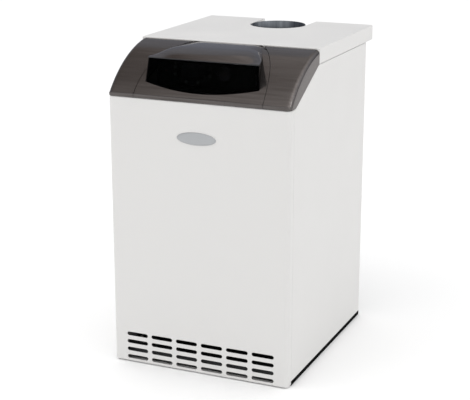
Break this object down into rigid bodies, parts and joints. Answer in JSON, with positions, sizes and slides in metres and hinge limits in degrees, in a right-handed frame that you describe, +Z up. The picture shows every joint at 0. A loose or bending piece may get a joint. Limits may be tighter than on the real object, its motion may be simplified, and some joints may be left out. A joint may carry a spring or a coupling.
{
  "type": "floor-standing gas boiler",
  "caption": "Floor-standing cast-iron gas boiler in a white cabinet, with a dark sloping hood, a hinged control flap and an atmospheric burner behind a slotted front panel.",
  "frame": {"origin": "on the floor, at the centre of the boiler's footprint (hood lip to the back edge of the top cover)", "axes": "+Z up, -Y towards the front panel, +X to the right of someone facing the front"},
  "size_m": [0.5, 0.64, 0.85],
  "materials": {
    "white_paint": "warm white powder coat, fine texture",
    "hood_plastic": "anthracite metallic lacquer, half gloss",
    "smoked_window": "smoked, high gloss",
    "black_plastic": "fine moulded texture",
    "grey_button": "satin",
    "red_plastic": "gloss",
    "clear_lens": "clear",
    "display": "gloss",
    "galvanised": "zinc spangle",
    "dark_steel": "black powder coat",
    "cast_iron": "rough casting skin",
    "stainless": "rolled",
    "steel_pipe": "dark lacquered steel tube",
    "brass": "machined",
    "cast_aluminium": "die cast",
    "ceramic": "glazed ceramic",
    "insulation": "aluminium-faced mineral wool",
    "rubber": "moulded"
  },
  "bodies": {
    "boiler": {"base_frame": "dark_steel", "side_panel_left": "white_paint", "side_panel_right": "white_paint", "top_cover": "white_paint", "rear_panel": "galvanised", "front_crossbar": "galvanised", "hood_cheek_left": "hood_plastic", "hood_cheek_right": "hood_plastic", "hinge_pin_left": "stainless", "hinge_pin_right": "stainless", "control_tray": "black_plastic", "control_fascia": "black_plastic", "display_lens": "display", "gauge_case": "black_plastic", "gauge_glass": "clear_lens", "limit_thermostat": "black_plastic", "electrical_box": "black_plastic", "section_front": "cast_iron", "section_second": "cast_iron", "section_third": "cast_iron", "section_rear": "cast_iron", "tie_rod_left": "steel_pipe", "tie_rod_right": "steel_pipe", "support_rail_left": "galvanised", "support_rail_right": "galvanised", "insulation_jacket": "insulation", "smoke_hood": "galvanised", "draught_diverter": "galvanised", "flue_collar": "galvanised", "flow_pipe": "steel_pipe", "return_pipe": "steel_pipe", "drain_cock": "brass", "burner_1": "stainless", "burner_2": "stainless", "burner_3": "stainless", "burner_4": "stainless", "burner_plate": "dark_steel", "ignition_electrode": "ceramic", "flame_sensing_electrode": "ceramic", "gas_manifold": "steel_pipe", "gas_valve": "cast_aluminium", "gas_inlet_pipe": "steel_pipe", "cable_gland": "black_plastic"},
    "front_panel": {"front_panel": "white_paint"},
    "flap": {"flap_cover": "hood_plastic", "flap_window": "smoked_window"},
    "button_water_cooler": {"button_water_cooler": "grey_button"},
    "button_water_warmer": {"button_water_warmer": "grey_button"},
    "button_heating_cooler": {"button_heating_cooler": "grey_button"},
    "button_heating_warmer": {"button_heating_warmer": "grey_button"},
    "button_reset": {"button_reset": "grey_button"},
    "button_power": {"button_power": "grey_button"},
    "gauge_needle": {"gauge_needle": "red_plastic"},
    "reset_pin": {"reset_pin": "red_plastic"},
    "drain_lever": {"drain_lever": "brass"},
    "sight_cover": {"sight_cover": "dark_steel"},
    "foot_front_left": {"foot_front_left": "rubber"},
    "foot_front_right": {"foot_front_right": "rubber"},
    "foot_rear_left": {"foot_rear_left": "rubber"},
    "foot_rear_right": {"foot_rear_right": "rubber"}
  },
  "joints": [
    {"name": "flap_hinge", "type": "hinge", "parent": "boiler", "child": "flap", "pos_m": [0, -0.134, 0.84], "axis": [-1, 0, 0], "range_deg": [0, 80]},
    {"name": "front_panel_tilt", "type": "hinge", "parent": "boiler", "child": "front_panel", "pos_m": [0, -0.316, 0.004], "axis": [1, 0, 0], "range_deg": [0, 20]},
    {"name": "button_water_cooler_press", "type": "slide", "parent": "boiler", "child": "button_water_cooler", "axis": [0, 0.9903, -0.1392], "range_m": [0, 0.0012], "stiffness_N_per_m": 400, "springref_m": -0.0005},
    {"name": "button_water_warmer_press", "type": "slide", "parent": "boiler", "child": "button_water_warmer", "axis": [0, 0.9903, -0.1392], "range_m": [0, 0.0012], "stiffness_N_per_m": 400, "springref_m": -0.0005},
    {"name": "button_heating_cooler_press", "type": "slide", "parent": "boiler", "child": "button_heating_cooler", "axis": [0, 0.9903, -0.1392], "range_m": [0, 0.0012], "stiffness_N_per_m": 400, "springref_m": -0.0005},
    {"name": "button_heating_warmer_press", "type": "slide", "parent": "boiler", "child": "button_heating_warmer", "axis": [0, 0.9903, -0.1392], "range_m": [0, 0.0012], "stiffness_N_per_m": 400, "springref_m": -0.0005},
    {"name": "button_reset_press", "type": "slide", "parent": "boiler", "child": "button_reset", "axis": [0, 0.9903, -0.1392], "range_m": [0, 0.0012], "stiffness_N_per_m": 400, "springref_m": -0.0005},
    {"name": "button_power_press", "type": "slide", "parent": "boiler", "child": "button_power", "axis": [0, 0.9903, -0.1392], "range_m": [0, 0.0012], "stiffness_N_per_m": 400, "springref_m": -0.0005},
    {"name": "gauge_needle_turn", "type": "hinge", "parent": "boiler", "child": "gauge_needle", "pos_m": [0.052, -0.26321, 0.7924], "axis": [0, 0.9903, -0.1392], "range_deg": [0, 270]},
    {"name": "reset_pin_press", "type": "slide", "parent": "boiler", "child": "reset_pin", "axis": [0, 0.9903, -0.1392], "range_m": [0, 0.0015], "stiffness_N_per_m": 600, "springref_m": -0.0005},
    {"name": "drain_lever_turn", "type": "hinge", "parent": "boiler", "child": "drain_lever", "pos_m": [-0.152, 0.28, 0.214], "axis": [0, 0, 1], "range_deg": [0, 90]},
    {"name": "sight_cover_swing", "type": "hinge", "parent": "boiler", "child": "sight_cover", "pos_m": [0.088, -0.1837, 0.207], "axis": [0, 1, 0], "range_deg": [-70, 70]},
    {"name": "foot_front_left_level", "type": "slide", "parent": "boiler", "child": "foot_front_left", "axis": [0, 0, -1], "range_m": [0, 0.008]},
    {"name": "foot_front_right_level", "type": "slide", "parent": "boiler", "child": "foot_front_right", "axis": [0, 0, -1], "range_m": [0, 0.008]},
    {"name": "foot_rear_left_level", "type": "slide", "parent": "boiler", "child": "foot_rear_left", "axis": [0, 0, -1], "range_m": [0, 0.008]},
    {"name": "foot_rear_right_level", "type": "slide", "parent": "boiler", "child": "foot_rear_right", "axis": [0, 0, -1], "range_m": [0, 0.008]}
  ]
}
